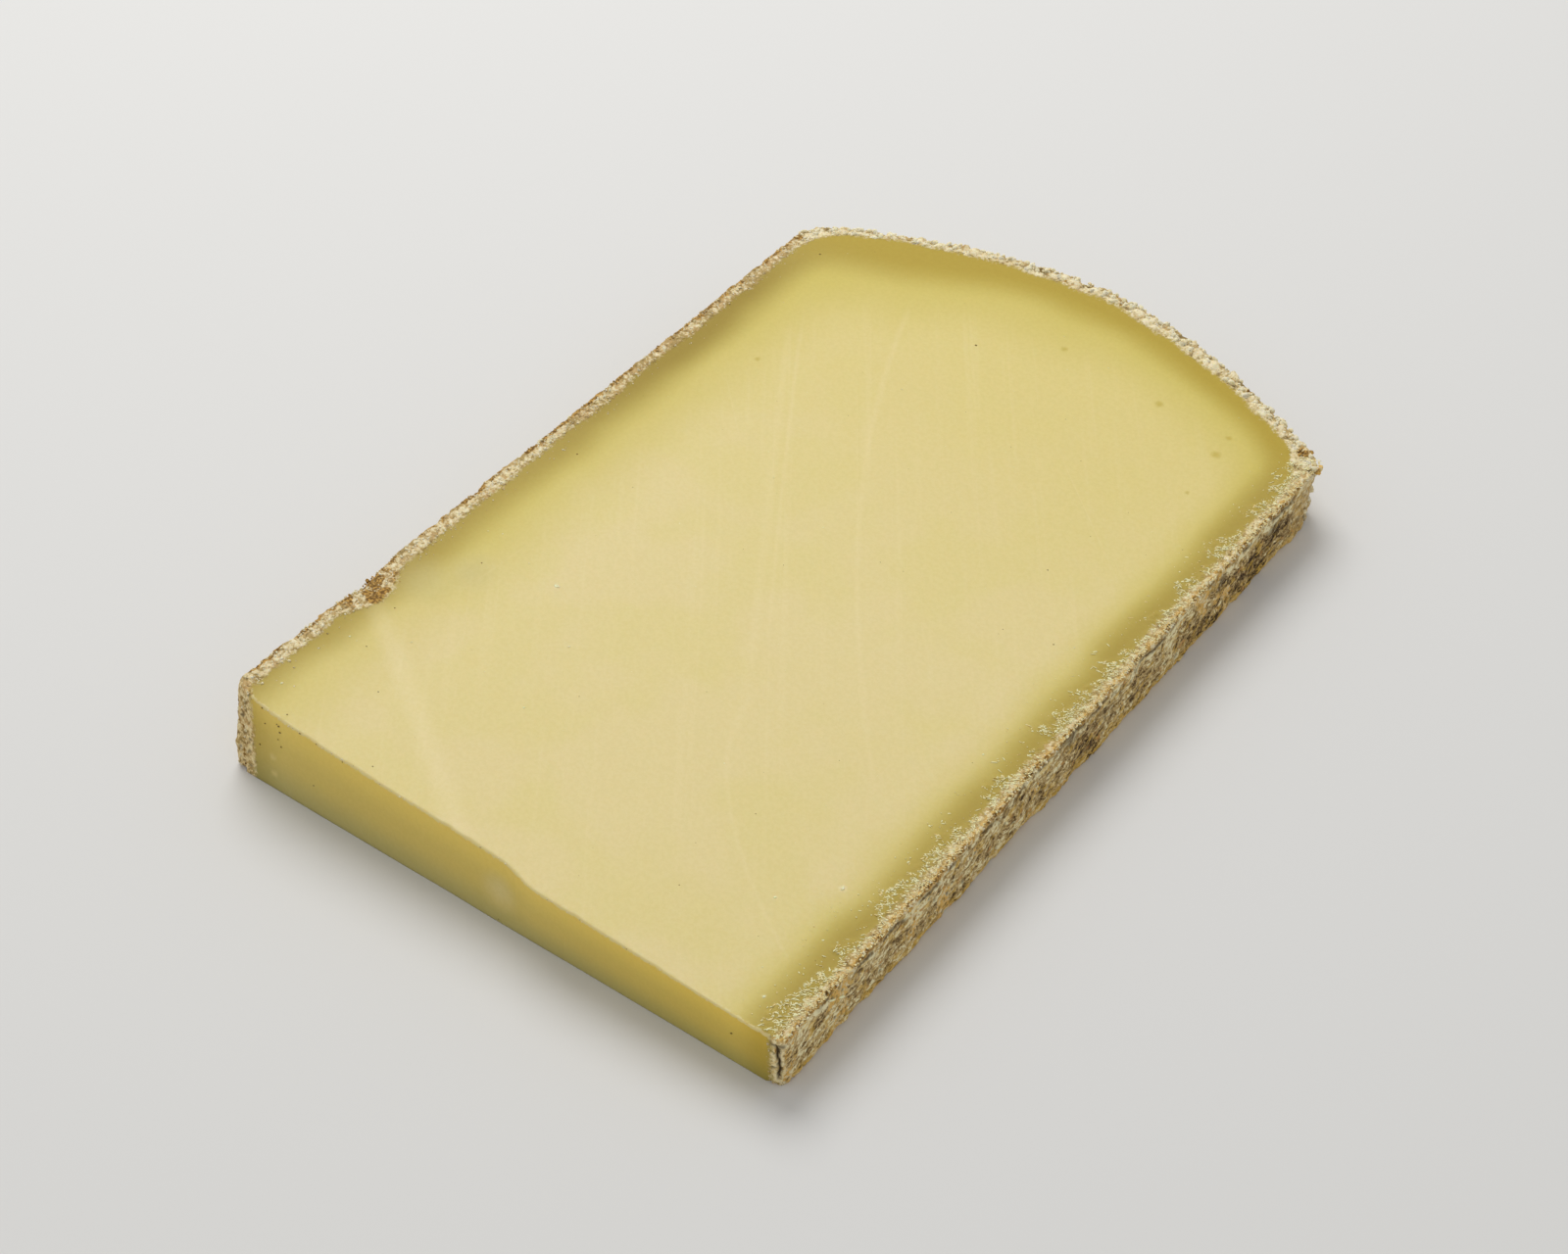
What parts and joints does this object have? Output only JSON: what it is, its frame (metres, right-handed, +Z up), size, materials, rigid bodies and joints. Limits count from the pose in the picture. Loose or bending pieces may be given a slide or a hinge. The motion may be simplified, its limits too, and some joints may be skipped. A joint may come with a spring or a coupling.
{
  "type": "cheese slice",
  "caption": "Flat wedge-cut slice of hard mountain cheese with an arched heel, crumbly natural rind on three sides and bare cut faces.",
  "frame": {"origin": "middle of the footprint, on the surface that the slice lies on", "axes": "+X across the slice from its thick long side to its thin long side, +Y from the bare end cut to the arched heel, +Z up out of the upper cut"},
  "size_m": [0.1071, 0.1685, 0.0168],
  "materials": {
    "cheese": "smooth waxy pale straw paste, darker ochre next to the crust, with a crumbly cream, beige and brown natural rind"
  },
  "bodies": {
    "root": {"cheese": "cheese"}
  },
  "joints": []
}
